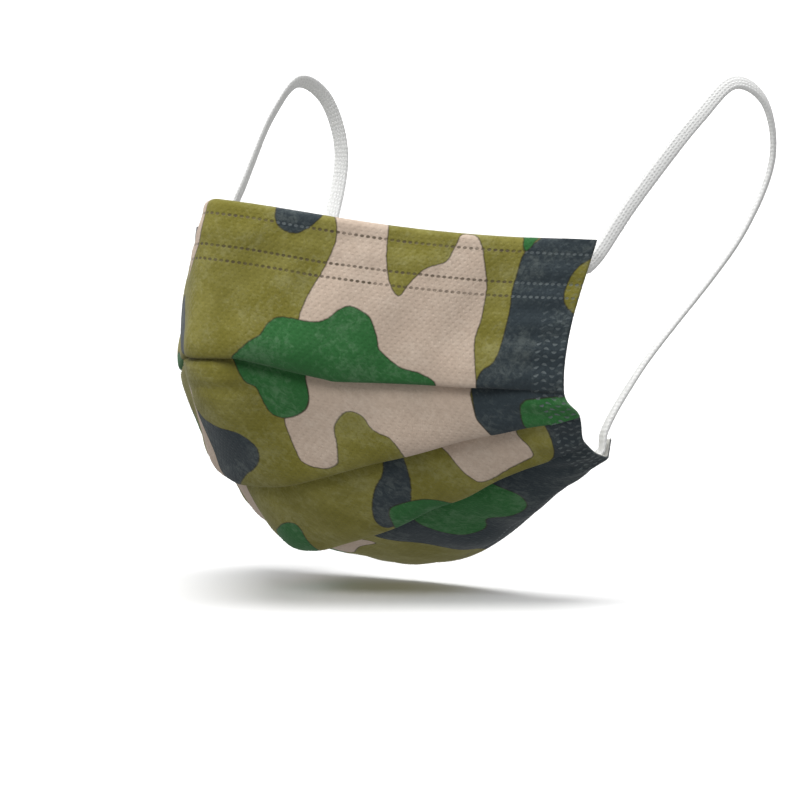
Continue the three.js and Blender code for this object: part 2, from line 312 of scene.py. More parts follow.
# Over the ridge of the nose the first fold is pulled almost flat: the panel below swells out
# nearly to the form, and that fades on both sides.
SWELL_SHARE = 0.97
HIDDEN_SWELL_DELAY = 2.5       # mm: the plies behind follow later, so that they stay behind
SWELL_NEAR = (14, 3)           # mm across: none beyond the first, and all of it by the second
SWELL_FAR = (-52, -36)
SWELL_SOFTNESS = 1.3
ROLL_HIGH = 0.5                # a fold's crest against the hollow just below it
ROLL_CREST = 0.75              # their widths, as shares of the roll's
ROLL_HOLLOW = 0.42
HOLLOW_BELOW = 0.6             # mm from the fold down to the hollow
CALM_EDGE = 6                  # mm over which the drape grows from the top edge and the hem
WIRE_END_FADE = 2
PUCKER_REACH = 7               # mm from the seal over which its puckers fade
PUCKER_PITCH = 5.2
PUCKER_HEIGHT = 0.22
WIRE_RIDGE = 0.22
WIRE_RIDGE_HALF = 1.9


def drape(column, down):
    """Small softness of the worn fabric: slow waves, and puckers beside the seals."""
    lift = sum(
        height * np.sin(2 * np.pi * (column.mm / wide + down / tall) + phase)
        for wide, tall, phase, height in WAVES
    )
    for level, middle, reach, extra, base, width in ROLLS:
        size = base + extra * math.exp(-(((column.mm - middle) / reach) ** 2))
        fold = first_edge(column) if level == FOLD_LEVELS[0] else column.level(level)
        crest = np.exp(-(((down - fold + width) / (ROLL_CREST * width)) ** 2))
        hollow = np.exp(-(((down - fold - HOLLOW_BELOW) / (ROLL_HOLLOW * width)) ** 2))
        lift = lift + size * (ROLL_HIGH * crest - hollow)
    for mm, row, slope, length, width, depth in CREASES:
        along = math.exp(-(((column.mm - mm) / length) ** 2))
        line = row + slope * (column.mm - mm)
        lift = lift - depth * along * np.exp(-(((down - line) / width) ** 2))
    near = math.exp(-((PANEL_END - abs(column.mm)) / PUCKER_REACH) ** 2)
    lift = lift * (1 - near) + near * PUCKER_HEIGHT * np.sin(2 * np.pi * down / PUCKER_PITCH)
    edges = smooth_step(0, CALM_EDGE, down)
    edges = edges * smooth_step(0, CALM_EDGE, column.level(HEM_LEVEL) - down)
    return -lift * edges


def cheek_swell(delay):
    """The cheek panel's drape with its swelling, which starts so far below the first fold."""
    def lift(column, down):
        beside = smooth_step(*SWELL_NEAR, column.mm) * smooth_step(*SWELL_FAR, column.mm)
        soft = 1 + SWELL_SOFTNESS * fold_rise(column) * (1 - beside) + delay
        below = smooth_step(delay, delay + soft, down - first_edge(column))
        return drape(column, down) - SWELL_SHARE * beside * below * shingle(column, 0, down)
    return lift


def wire_ridge(column, down):
    """The wire shows as a low ridge in the strip below the top edge."""
    middle = WIRE_DROP + WIRE_WIDTH / 2
    along = smooth_step(
        WIRE_HALF_LENGTH + WIRE_END_FADE, WIRE_HALF_LENGTH - WIRE_END_FADE, abs(column.mm)
    )
    return -WIRE_RIDGE * along * np.exp(-(((down - middle) / WIRE_RIDGE_HALF) ** 2))


def runs(*stretches):
    """Evenly spaced places through several stretches, each with its own number of steps."""
    parts = [np.linspace(a, b, steps + 1)[1 if i else 0:] for i, (a, b, steps) in enumerate(stretches)]
    return np.concatenate(parts)


def steps_for(length, size):
    return max(2, round(length / size))


def rounded_fold(edge, depth, back_depth, outwards, strip):
    """A ply that turns over an edge and runs back behind it: rows of down, depth, print row."""
    radius = (back_depth - depth) / 2
    angle = np.linspace(0, np.pi, 9)
    turn_down = edge - outwards * radius + outwards * radius * np.sin(angle)
    turn_depth = depth + radius * (1 - np.cos(angle))
    turn_print = edge - outwards * radius + outwards * radius * angle
    count = steps_for(strip, LINING_STEP)
    back = np.linspace(0, strip, count + 1)[1:]
    down = np.concatenate([turn_down, edge - outwards * (radius + back)])
    depths = np.concatenate([turn_depth, np.full(count, back_depth)])
    rows = np.concatenate([turn_print, turn_print[-1] + outwards * back])
    return down, depths, rows


# ---------------------------------------------------------------- ribbons on the form
SHARP_EDGE = math.radians(50)


def new_object(name, points, faces):
    mesh = bpy.data.meshes.new(name)
    mesh.from_pydata([tuple(p) for p in points], [], faces)
    mesh.polygons.foreach_set("use_smooth", [True] * len(mesh.polygons))
    mesh.set_sharp_from_angle(angle=SHARP_EDGE)
    mesh.update()
    piece = bpy.data.objects.new(name, mesh)
    bpy.context.scene.collection.objects.link(piece)
    return piece


def add_numbers(piece, name, values):
    """A number per vertex, or three, that the materials read."""
    kind = "FLOAT_VECTOR" if values.ndim == 2 else "FLOAT"
    attribute = piece.data.attributes.new(name, kind, "POINT")
    field = "vector" if values.ndim == 2 else "value"
    attribute.data.foreach_set(field, values.astype(np.float32).ravel())


def ribbon(name, columns, section_at, thickness_at, lift_at, loft_at=pressed):
    """A closed strip of fabric. section_at(column) gives down, depth and print row in mm of its
    outer face, and thickness_at(column, row) its thickness, laid on the inner side."""
    points, places, printed, sides = [], [], [], []
    for column in columns:
        down, depth, rows = section_at(column)
        thickness = thickness_at(column, rows)
        slope = np.gradient(np.stack([down, depth], 1), axis=0)
        slope /= np.maximum(np.linalg.norm(slope, axis=1), 1e-6)[:, None]
        inner_down = down - thickness * slope[:, 1]
        inner_depth = depth + thickness * slope[:, 0]
        all_down = np.concatenate([down, inner_down[::-1]])
        all_depth = np.concatenate([depth, inner_depth[::-1]]) * loft_at(column)
        all_depth = all_depth + lift_at(column, all_down)
        points.append(column.place(all_down, all_depth))
        printed.append(np.concatenate([rows, rows[::-1]]))
        places.append(np.full(len(all_down), column.mm))
        sides.append(np.repeat([0.0, 1.0], len(down)))
    size = len(points[0])
    faces = []
    for r in range(len(columns) - 1):
        for i in range(size):
            a = r * size + i
            b = r * size + (i + 1) % size
            faces.append((a, b, b + size, a + size))
    last = (len(columns) - 1) * size
    for i in range(size // 2 - 1):
        j = size - 1 - i
        faces.append((i, j, j - 1, i + 1))
        faces.append((last + i, last + i + 1, last + j - 1, last + j))
    piece = new_object(name, np.concatenate(points) * MM, faces)
    row = np.concatenate(printed)
    place = np.concatenate(places)
    add_numbers(piece, "fabric", np.stack([place, row, np.concatenate(sides)], 1))
    return piece, place, row


def columns_every(size, end):
    count = steps_for(2 * end, size)
    return [Column(mm / HALF_WIDTH) for mm in np.linspace(-end, end, count + 1)]


FINE_COLUMNS = columns_every(FABRIC_STEP, PANEL_END)
COARSE_COLUMNS = columns_every(LINING_STEP, PANEL_END - LINING_SETBACK)

OUTER_DEPTH = 0
FILTER_DEPTH = PLY + PLY_GAP
INNER_DEPTH = 2 * (PLY + PLY_GAP)
WIRE_DEPTH = 3 * (PLY + PLY_GAP)
TOP_FLAP_DEPTH = WIRE_DEPTH + WIRE_THICKNESS + PLY_GAP
HEM_FLAP_DEPTH = 3 * (PLY + PLY_GAP)
RETURN_NEARER = 0.15           # the return strip lies this much nearer than the hem's
RETURN_DEPTH = HEM_FLAP_DEPTH - RETURN_NEARER


def ply_thickness(column, rows):
    return np.full(len(rows), PLY)


def straight(down, depth):
    return down, depth, down


NOSE_ROWS = 44
HIDDEN_NOSE_ROWS = 22


def nose_outer(column):
    """The printed ply: its folded-over strip, the turn over the top edge, the face, the fold."""
    fold = first_edge(column)
    back = TOP_FLAP_DEPTH + PLY
    flap_down, flap_depth, flap_rows = rounded_fold(0, OUTER_DEPTH, back, -1, TOP_FLAP)
    low_down, low_depth, low_rows = rounded_fold(fold, OUTER_DEPTH, RETURN_DEPTH + PLY, 1, RETURN_STRIP)
    face = np.linspace(flap_down[0], low_down[0], NOSE_ROWS)[1:-1]
    down = np.concatenate([flap_down[::-1], face, low_down])
    depth = np.concatenate([flap_depth[::-1], np.zeros(len(face)), low_depth])
    return down, depth, np.concatenate([flap_rows[::-1], face, low_rows])


def nose_other(ply_depth):
    def section(column):
        down = np.linspace(EDGE_SETBACK, first_edge(column) - EDGE_SETBACK, HIDDEN_NOSE_ROWS)
        return straight(down, np.full(len(down), ply_depth))
    return section


PLEATS = [
    # For the cheek, mouth and chin panels: how deep behind its lower edge the printed ply turns
    # back, for how long, and the mesh rows of its tuck, of its face and of a hidden ply's face.
    dict(behind=RETURN_DEPTH, strip=RETURN_STRIP, tuck_rows=12, face_rows=26, hidden_rows=14),
    dict(behind=RETURN_DEPTH, strip=RETURN_STRIP, tuck_rows=12, face_rows=26, hidden_rows=14),
    dict(behind=HEM_FLAP_DEPTH, strip=HEM_FLAP, tuck_rows=6, face_rows=38, hidden_rows=20),
]
HIDDEN_TUCK_ROWS = 4


def pleat_outer(number):
    """A pleated panel's printed ply: its tucked top, its face, and the strip turned back."""
    pleat = PLEATS[number]

    def section(column):
        start = column.level(FOLD_LEVELS[number])
        edge = column.level(lower_level(number))
        turn_down, turn_depth, turn_rows = rounded_fold(
            edge, OUTER_DEPTH, pleat["behind"] + PLY, 1, pleat["strip"]
        )
        top = start - tuck(column, number)
        face = runs((top, start, pleat["tuck_rows"]), (start, turn_down[0], pleat["face_rows"]))[:-1]
        down = np.concatenate([face, turn_down])
        depth = np.concatenate([np.zeros(len(face)), turn_depth])
        return down, depth + shingle(column, number, down), np.concatenate([face, turn_rows])
    return section


def pleat_other(number, ply_depth):
    """A pleated panel's filter or inner ply, which stops short of the lower edge."""
    def section(column):
        start = column.level(FOLD_LEVELS[number])
        end = column.level(lower_level(number)) - EDGE_SETBACK
        top = start - tuck(column, number)
        down = runs((top, start, HIDDEN_TUCK_ROWS), (start, end, PLEATS[number]["hidden_rows"]))
        return straight(down, ply_depth + shingle(column, number, down))
    return section


def nose_lift(column, down):
    return drape(column, down) + wire_ridge(column, down)


# ---------------------------------------------------------------- the camouflage print
# Each shape is a closed outline of (mm across, mm down), made smooth through its points.
# They are printed one over the other in this order, on an olive ground.
NOSE_TAN = [
    [(23, -16), (23, -3), (24.5, 3), (24.5, 6), (23.5, 10.5), (22, 14.5), (21, 18), (20.5, 22), (21, 32),
     (23, 42), (40, 42), (54, 38), (55.5, 30), (55.5, 25.5), (55, 20.5), (55.5, 17), (55.5, 14), (55, 10),
     (53.5, 6), (52, 2.5), (50.5, 0.5), (49, 0), (47.5, 0.5), (47, 3), (46, 6), (43, 7.5), (41.5, 9),
     (40, 11.5), (39, 13.5), (37.5, 12.5), (36, 10), (34.5, 5), (33.5, -3), (33, -16)],
    [(-1.5, -16), (-1.5, 0), (-1, 6), (-2, 10), (-6, 15), (-11, 16), (-14, 11), (-15, 0), (-15, -16)],
    [(-36, -16), (-37, 4), (-33, 14), (-39, 22), (-47, 19), (-51, 8), (-52, -16)],
]
NOSE_GREEN = [
    [(8, 30), (9.5, 28), (11.5, 26), (13.5, 24.5), (14.5, 22.5), (16, 21), (17.5, 20.5), (19.5, 20.5),
     (23.5, 20.5), (26, 19.5), (28, 17.5), (30, 16.5), (32, 17), (34, 18), (35, 19.5), (36, 21.5),
     (36.5, 23.5), (37.5, 24.5), (39.5, 26), (41.5, 27), (44.5, 27.5), (47.5, 29.5), (44, 34), (30, 40),
     (14, 39), (9, 33.5)],
    [(59, -16), (59, -3), (60, 3), (61.5, 1), (62.5, -3), (63, -16)],
    [(-22, 40), (-24, 31), (-30, 27), (-36, 28), (-42, 24), (-49, 25), (-53, 31), (-54, 40)],
]
NOSE_DARK = [
    [(12.5, -16), (12.5, -3), (12.5, 2), (14, 4), (16.5, 4.5), (18.5, 3.5), (21, 0.5), (21.5, -4),
     (21.5, -16)],
    [(62.5, -16), (62.5, -1), (61, 1.5), (60, 4), (60, 7), (60, 10.5), (60.5, 14), (60.5, 18), (60, 22),
     (59, 24.5), (57, 26), (56, 27.5), (55.5, 30), (56, 42), (84, 42), (84, -16)],
    [(-4, 42), (-4, 33), (-6, 25), (-9, 19), (-15, 18), (-21, 22), (-20, 30), (-16, 35), (-16, 42)],
    [(-57, -16), (-58, 6), (-61, 14), (-59, 22), (-65, 28), (-84, 30), (-84, -16)],
]
NOSE_OLIVE = [
    [(76, 3), (72, 4.5), (70.5, 6.5), (70, 8.5), (70, 11), (70.5, 12.5), (72, 14), (76, 15.5)],
]
CHEEK_TAN = [
    [(22, 24), (21.5, 34), (20, 38.5), (17.5, 40.5), (14.5, 42), (14, 45.5), (14, 49), (14.5, 51.5),
     (18, 52), (21, 50.5), (22, 48.5), (23, 45.5), (23.5, 43), (24.5, 41), (27, 38.5), (29, 38), (30.5, 39),
     (31, 41), (32.5, 42), (34, 42.5), (35, 46), (36, 58), (56, 58), (54.5, 43), (53.5, 38.5),
     (53, 36.5), (53.5, 34), (54, 31), (55.5, 24)],
    [(-9, 34), (-7.5, 41), (-8, 50), (-11, 60), (-17, 60), (-19, 48), (-16, 38)],
    [(-40, 24), (-41, 36), (-38, 43), (-42, 48), (-50, 46), (-52, 36), (-50, 24)],
]
CHEEK_GREEN = [
    [(8.5, 26), (9, 34), (11, 36), (11.5, 38.5), (12, 41), (14, 42), (17, 41), (19.5, 39), (21, 36.5),
     (21.5, 33), (21.5, 26)],
    [(61.5, 36.5), (63, 33), (65, 31.5), (68, 31), (73, 30.5), (80, 31), (80, 37), (73, 37.5), (70, 38),
     (66, 38.5), (62.5, 39), (61.5, 38.5)],
    [(-26, 50), (-27, 42), (-31, 37), (-37, 38), (-37, 45), (-34, 54)],
]
CHEEK_DARK = [
    [(55.5, 20), (54.5, 30), (53.5, 34), (53, 36.5), (53.5, 38.5), (54.5, 43), (56, 58), (84, 58),
     (84, 20)],
    [(-7, 41.5), (-4.5, 43.5), (0, 45.5), (3.5, 46), (5.5, 47.5), (6.5, 50), (5, 53.5), (1, 57),
     (-6, 60), (-11, 60), (-8, 50)],
    [(-58, 24), (-57, 36), (-60, 46), (-84, 48), (-84, 24)],
]
MOUTH_TAN = [
    [(39, 36), (42, 44), (43.5, 46.5), (44.5, 49.5), (46, 52), (47.5, 53), (50.5, 52), (55, 49),
     (58.5, 47), (61, 45.5), (60.5, 43), (59, 41), (58, 36)],
    [(-10, 60), (-10, 66), (-14, 71), (-20, 70), (-22, 62), (-18, 54)],
    [(-44, 40), (-46, 50), (-52, 55), (-58, 50), (-58, 40)],
]
MOUTH_GREEN = [
    [(24, 68), (26, 62), (31, 59.5), (36, 58.5), (39, 59.5), (41, 62.5), (41, 70), (30, 84), (20, 82)],
    [(-7, 76), (-2, 72.5), (2.5, 71.5), (3.5, 73), (3, 77), (2, 92), (-7, 92)],
    [(-28, 48), (-26, 58), (-31, 66), (-38, 64), (-41, 56), (-37, 46)],
]
MOUTH_DARK = [
    [(31, 44), (34, 46.5), (33.5, 53), (31.5, 58.5), (28.5, 63.5), (23, 68), (21.5, 66), (23, 61.5),
     (25.5, 57), (28.5, 53), (30, 49), (30, 44)],
    [(66, 30), (66, 43), (64, 47), (60, 49), (54, 52), (46, 56), (43, 60), (44, 66), (52, 72), (84, 70),
     (84, 30)],
    [(-62, 30), (-61, 44), (-56, 54), (-48, 60), (-50, 70), (-84, 70), (-84, 30)],
]
CHIN_TAN = [
    [(1, 84), (5, 81), (11, 80), (13, 82), (8, 85), (4, 89), (1, 88)],
    [(64, 44), (66.5, 46), (67, 50), (70, 52), (76, 51), (76, 42)],
    [(-24, 84), (-28, 90), (-35, 88), (-34, 78), (-26, 76)],
]
CHIN_GREEN = [
    [(29, 60), (27, 66), (28, 72), (32, 75), (37, 73.5), (40, 69), (45, 67), (50, 64), (51, 59),
     (46, 55), (36, 56)],
    [(-6, 70), (-4, 82), (-8, 92), (-16, 96), (-20, 88), (-16, 76)],
    [(-52, 50), (-46, 60), (-48, 70), (-58, 72), (-66, 60)],
]
CHIN_DARK = [
    [(14, 70), (16, 78), (22, 82), (26, 88), (24, 100), (28, 124), (84, 124), (84, 40), (56, 44), (30, 60)],
    [(-30, 60), (-32, 74), (-40, 80), (-44, 92), (-40, 124), (-84, 124), (-84, 44)],
]
PRINT = {
    "nose": dict(tan=NOSE_TAN, dark=NOSE_DARK, green=NOSE_GREEN, olive=NOSE_OLIVE),
    "cheek": dict(tan=CHEEK_TAN, dark=CHEEK_DARK, green=CHEEK_GREEN, olive=[]),
    "mouth": dict(tan=MOUTH_TAN, dark=MOUTH_DARK, green=MOUTH_GREEN, olive=[]),
    "chin": dict(tan=CHIN_TAN, dark=CHIN_DARK, green=CHIN_GREEN, olive=[]),
}
PRINT_ORDER = ("tan", "dark", "green", "olive")
FAR_FROM_PRINT = -9.0          # value where no shape is near, in mm


def smooth_outline(outline, per_side=6):
    """The closed smooth curve through an outline's points, as short straight pieces."""
    row = [np.roll(np.array(outline, float), -step, 0) for step in (-1, 0, 1, 2)]
    pieces = [
        sum(points * weight for points, weight in zip(row, cubic_weights(t)))
        for t in np.linspace(0, 1, per_side, endpoint=False)
    ]
    return np.stack(pieces, 1).reshape(-1, 2)


def inside_distance(places, outline):
    """Distance in mm from each place to the outline, positive inside it."""
    line = smooth_outline(outline)
    low, high = line.min(0) - 2, line.max(0) + 2
    found = np.full(len(places), FAR_FROM_PRINT)
    near = np.all((places > low) & (places < high), axis=1)
    spots = places[near]
    if not len(spots):
        return found
    best = np.full(len(spots), 1e9)
    crossings = np.zeros(len(spots), int)
    for a, b in zip(line, np.roll(line, -1, 0)):
        run = b - a
        t = np.clip(((spots - a) @ run) / max(run @ run, 1e-9), 0, 1)
        best = np.minimum(best, ((spots - a - t[:, None] * run) ** 2).sum(1))
        spans = (a[1] > spots[:, 1]) != (b[1] > spots[:, 1])
        reach = a[0] + run[0] * (spots[:, 1] - a[1]) / (run[1] if run[1] else 1e-9)
        crossings += spans & (spots[:, 0] < reach)
    found[near] = np.where(crossings % 2, 1, -1) * np.sqrt(best)
    return found


def add_print(piece, place, row, panel_of):
    """Writes how far inside each colour of the print every vertex lies."""
    places = np.stack([place, row], 1)
    for colour in PRINT_ORDER:
        values = np.full(len(places), FAR_FROM_PRINT)
        for panel, shapes in PRINT.items():
            chosen = panel_of == panel
            for outline in shapes[colour]:
                found = inside_distance(places[chosen], outline)
                values[chosen] = np.maximum(values[chosen], found)
        add_numbers(piece, colour, values)


TOP_WELDS = [3, 9, 11.7]       # rows of weld points, in mm below the top edge
HEM_WELDS = [3, 5.6]           # and in mm above the hem
NO_HEM = 99.0


# ---------------------------------------------------------------- materials
SMOOTH = dict(interpolation_type="SMOOTHSTEP")
MIX = dict(out=2, data_type="RGBA")
SHARE, UNDER, OVER = 0, 6, 7   # a colour mix's inputs


def linear(code):
    """An sRGB hex colour as linear red, green, blue and alpha."""
    channels = [int(code[i:i + 2], 16) / 255 for i in (1, 3, 5)]
    return (*[c / 12.92 if c <= 0.04045 else ((c + 0.055) / 1.055) ** 2.4 for c in channels], 1)


def add_node(tree, kind, inputs=(), out=0, **settings):
    """Adds a shader node with its settings. Its inputs are given in order, or by name or number,
    each as a value or as a socket to link. It hands back the output asked for."""
    node = tree.nodes.new("ShaderNode" + kind)
    for name, value in settings.items():
        setattr(node, name, value)
    for socket, value in inputs.items() if isinstance(inputs, dict) else enumerate(inputs):
        if isinstance(value, bpy.types.NodeSocket):
            tree.links.new(value, node.inputs[socket])
        else:
            node.inputs[socket].default_value = value
    return node.outputs[out] if node.outputs else None


def new_material(name):
    material = bpy.data.materials.new(name)
    material.use_nodes = True
    material.node_tree.nodes.clear()
    return material, material.node_tree


def finish_material(tree, colour, rough, relief, **shader):
    """The material's shader. relief is its height, strength and depth in metres, if it has any."""
    inputs = {"Base Color": colour, "Roughness": rough}
    if relief:
        height, strength, depth = relief
        bump = add_node(tree, "Bump", {"Height": height, "Strength": strength, "Distance": depth})
        inputs["Normal"] = bump
    inputs.update({name.replace("_", " "): value for name, value in shader.items()})
    surface = add_node(tree, "BsdfPrincipled", inputs)
    add_node(tree, "OutputMaterial", {"Surface": surface})


OLIVE = "#7c762b"
OLIVE_WORN = "#928c46"
TAN = "#cdb9a7"
GREEN = "#2b6a33"
DARK = "#303b41"
INK_LINE = "#2a2412"
PRINT_BACK = "#e6e5de"
FLECK = "#a9b0a4"
INK_THICK = "#6f6a55"
WELD_MARK = "#4d4230"
WELD_MARK_ON_DARK = "#626b6d"
BACK_FADE = 0.82               # how far the print is paler on the back of the cloth
SEAL_BACK_FADE = 0.93
BOND_PITCH = 1.0               # mm between the bond points of the nonwoven
FIBRE_SIZE = 0.45              # mm; real fibres are 0.02 mm, drawn coarser so that they show
FLECK_SIZE = 1.3               # mm, pale flecks where the ink missed raised fibres
PATCH_SIZE = 9                 # mm, patches where there are more of them
CLOUD_SIZE = 14                # mm, slow unevenness of the ink
WELD_PITCH = 1.15
WELD_DOT = 0.38                # half length of a weld point, in mm
WELD_DOT_HIGH = 0.27
SEAL_PITCH_ACROSS = 1.55
SEAL_PITCH_DOWN = 1.5
SEAL_WAVE = 3.4                # mm from one wave of the marks to the next, across the seal
SEAL_WAVE_HEIGHT = 0.4
SEAL_DOT = (0.5, 0.24)
OUTLINE_HALF = 0.11            # half width in mm of the dark line round each shape
EDGE_BLUR = 0.07
CLOTH_RELIEF = 0.00012         # m
PRESSED_MARK = -2.4            # a weld point's depth against the height of the bond points
PRINTED_BUMP = 0.42
WEAR_STEP = (0.42, 0.66)       # the part of the cloud noise over which the ink looks worn
CLOTH_IOR = 1.49               # polypropylene
PRINTED_ROUGH = (0.94, 0.8)    # between the fibres and on them
PLAIN_ROUGH = (0.95, 0.82)
MARK_GLOSS = -0.34             # what a weld point takes off the roughness
NOISE_RANGE = (0.3, 0.7)       # where most of a noise's values lie


def fabric_place(tree):
    """The cloth's own coordinates in mm: across, down, and 0 on the face or 1 on the back."""
    return add_node(tree, "Attribute", out="Vector", attribute_name="fabric")


def cloth_relief(tree, place, marks=None):
    """Height of spunbond cloth: bond points pressed in a diagonal grid, with fibres between."""
    turned = add_node(tree, "Mapping", {"Vector": place, "Rotation": (0, 0, math.radians(45))})
    points = add_node(
        tree, "TexVoronoi", {"Vector": turned, "Scale": 1 / BOND_PITCH, "Randomness": 0.12},
        voronoi_dimensions="2D",
    )
    between = add_node(tree, "MapRange", (points, 0.12, 0.34, 0.0, 1.0), **SMOOTH)
    fibres = add_node(tree, "TexNoise", {
        "Vector": place, "Scale": 1 / FIBRE_SIZE, "Detail": 4.0, "Roughness": 0.6, "Distortion": 0.8,
    })
    height = add_node(tree, "Math", (fibres, 0.55, between), operation="MULTIPLY_ADD")
    if marks is not None:
        height = add_node(tree, "Math", (marks, PRESSED_MARK, height), operation="MULTIPLY_ADD")
    return height, fibres


def nearest_row(tree, value, rows):
    """Distance in mm from a value to the nearest of several rows."""
    nearest = None
    for row in rows:
        away = add_node(tree, "Math", (value, row), operation="SUBTRACT")
        away = add_node(tree, "Math", (away,), operation="ABSOLUTE")
        if nearest is not None:
            away = add_node(tree, "Math", (nearest, away), operation="MINIMUM")
        nearest = away
    return nearest


def repeated(tree, value, pitch):
    """Distance in mm from the middle of a pitch, again and again."""
    # PINGPONG over a full pitch peaks once per two pitches, so each slope holds one middle.
    share = add_node(tree, "Math", (value, pitch), operation="PINGPONG")
    return add_node(tree, "Math", (share, pitch / 2), operation="SUBTRACT")


def dots(tree, along, pitch, beside, half_along, half_beside):
    """Rows of small rounded points: 1 in a point and 0 outside it."""
    wide = add_node(tree, "Math", (repeated(tree, along, pitch), half_along), operation="DIVIDE")
    tall = add_node(tree, "Math", (beside, half_beside), operation="DIVIDE")
    joined = add_node(tree, "CombineXYZ", (wide, tall))
    reach = add_node(tree, "VectorMath", (joined,), out="Value", operation="LENGTH")
    return add_node(tree, "MapRange", (reach, 0.75, 1.25, 1.0, 0.0), **SMOOTH)


def printed_colour(tree, place):
    """Olive ground with the print's colours laid over it, each with a thin darker outline."""
    wander = add_node(tree, "TexNoise", {"Vector": place, "Scale": 0.9, "Detail": 2.0})
    wander = add_node(tree, "Math", (wander, 0.3, -0.15), operation="MULTIPLY_ADD")
    clouds = add_node(tree, "TexNoise", {
        "Vector": place, "Scale": 1 / CLOUD_SIZE, "Detail": 5.0, "Roughness": 0.65,
    })
    cloud = add_node(tree, "MapRange", (clouds, *WEAR_STEP, 0.0, 1.0))
    colour = add_node(tree, "Mix", {SHARE: cloud, UNDER: linear(OLIVE), OVER: linear(OLIVE_WORN)}, **MIX)
    dark_share = None
    for name, code in zip(PRINT_ORDER, (TAN, DARK, GREEN, OLIVE)):
        inside = add_node(tree, "Attribute", out="Fac", attribute_name=name)
        inside = add_node(tree, "Math", (inside, wander), operation="ADD")
        share = add_node(tree, "MapRange", (inside, -EDGE_BLUR, EDGE_BLUR, 0.0, 1.0), **SMOOTH)
        away = add_node(tree, "Math", (inside,), operation="ABSOLUTE")
        line = add_node(
            tree, "MapRange", (away, OUTLINE_HALF * 0.5, OUTLINE_HALF * 2.2, 0.6, 0.0), **SMOOTH
        )
        colour = add_node(tree, "Mix", {SHARE: share, UNDER: colour, OVER: linear(code)}, **MIX)
        colour = add_node(tree, "Mix", {SHARE: line, UNDER: colour, OVER: linear(INK_LINE)}, **MIX)
        if name == "dark":
            dark_share = share
    return colour, dark_share


def worn_colour(tree, place, colour):
    """Ink on raised fibres: a fine pale mottle everywhere, stronger in patches, and fine spots
    where the ink lies thicker."""
    specks = add_node(tree, "TexNoise", {
        "Vector": place, "Scale": 1 / FLECK_SIZE, "Detail": 5.0, "Roughness": 0.72, "Distortion": 0.6,
    })
    patches = add_node(tree, "TexNoise", {"Vector": place, "Scale": 1 / PATCH_SIZE, "Detail": 3.0})
    both = add_node(tree, "Math", (patches, 0.8, specks), operation="MULTIPLY_ADD")
    flecks = add_node(tree, "MapRange", (both, 0.82, 1.15, 0.0, 0.13), **SMOOTH)
    thick = add_node(tree, "MapRange", (specks, 0.3, 0.62, 0.17, 0.0))
    colour = add_node(
        tree, "Mix", {SHARE: flecks, UNDER: colour, OVER: linear(FLECK)}, blend_type="SCREEN", **MIX
    )
    return add_node(
        tree, "Mix", {SHARE: thick, UNDER: colour, OVER: linear(INK_THICK)}, blend_type="MULTIPLY", **MIX
    )


def seal_embossing(tree, across, down):
    """Wavy rows of weld points over the seal, fainter toward its top."""
    wave = add_node(tree, "Math", (across, 2 * math.pi / SEAL_WAVE), operation="MULTIPLY")
    wave = add_node(tree, "Math", (wave,), operation="SINE")
    wavy = add_node(tree, "Math", (wave, SEAL_WAVE_HEIGHT, down), operation="MULTIPLY_ADD")
    row = repeated(tree, wavy, SEAL_PITCH_DOWN)
    marks = dots(tree, across, SEAL_PITCH_ACROSS, row, *SEAL_DOT)
    deep = add_node(tree, "MapRange", (down, 12, 24, 0.25, 1.0))
    return add_node(tree, "Math", (marks, deep), operation="MULTIPLY")


def printed_spunbond(name, embossed):
    """Spunbond polypropylene, printed on its outer face: matt and faintly fuzzy, with bond
    points, thin dark ink outlines and weld points. The seal adds rows of embossed points."""
    material, tree = new_material(name)
    place = fabric_place(tree)
    across, down, back = (add_node(tree, "SeparateXYZ", (place,), out) for out in range(3))
    colour, dark_share = printed_colour(tree, place)
    colour = worn_colour(tree, place, colour)
    hem_up = add_node(tree, "Attribute", out="Fac", attribute_name="hem_up")
    from_top, from_hem = nearest_row(tree, down, TOP_WELDS), nearest_row(tree, hem_up, HEM_WELDS)
    weld_row = add_node(tree, "Math", (from_top, from_hem), operation="MINIMUM")
    marks = dots(tree, across, WELD_PITCH, weld_row, WELD_DOT, WELD_DOT_HIGH)
    if embossed:
        seal_marks = seal_embossing(tree, across, down)
        marks = add_node(tree, "Math", (marks, seal_marks), operation="MAXIMUM")
    mark_colour = add_node(
        tree, "Mix", {SHARE: dark_share, UNDER: linear(WELD_MARK), OVER: linear(WELD_MARK_ON_DARK)}, **MIX
    )
    uneven = add_node(tree, "TexNoise", {"Vector": place, "Scale": 0.22, "Detail": 3.0})
    uneven = add_node(tree, "MapRange", (uneven, 0.35, 0.65, 0.5, 0.95))
    mark_share = add_node(tree, "Math", (marks, uneven), operation="MULTIPLY")
    colour = add_node(tree, "Mix", {SHARE: mark_share, UNDER: colour, OVER: mark_colour}, **MIX)
    fade = SEAL_BACK_FADE if embossed else BACK_FADE
    faded = add_node(tree, "Mix", {SHARE: fade, UNDER: colour, OVER: linear(PRINT_BACK)}, **MIX)
    colour = add_node(tree, "Mix", {SHARE: back, UNDER: colour, OVER: faded}, **MIX)
    height, fibres = cloth_relief(tree, place, marks)
    rough = add_node(tree, "MapRange", (fibres, *NOISE_RANGE, *PRINTED_ROUGH))
    rough = add_node(tree, "Math", (marks, MARK_GLOSS, rough), operation="MULTIPLY_ADD")
    finish_material(tree, colour, rough, (height, PRINTED_BUMP, CLOTH_RELIEF), IOR=CLOTH_IOR,
                    Specular_IOR_Level=0.25, Sheen_Weight=0.12, Sheen_Roughness=0.6)
    return material


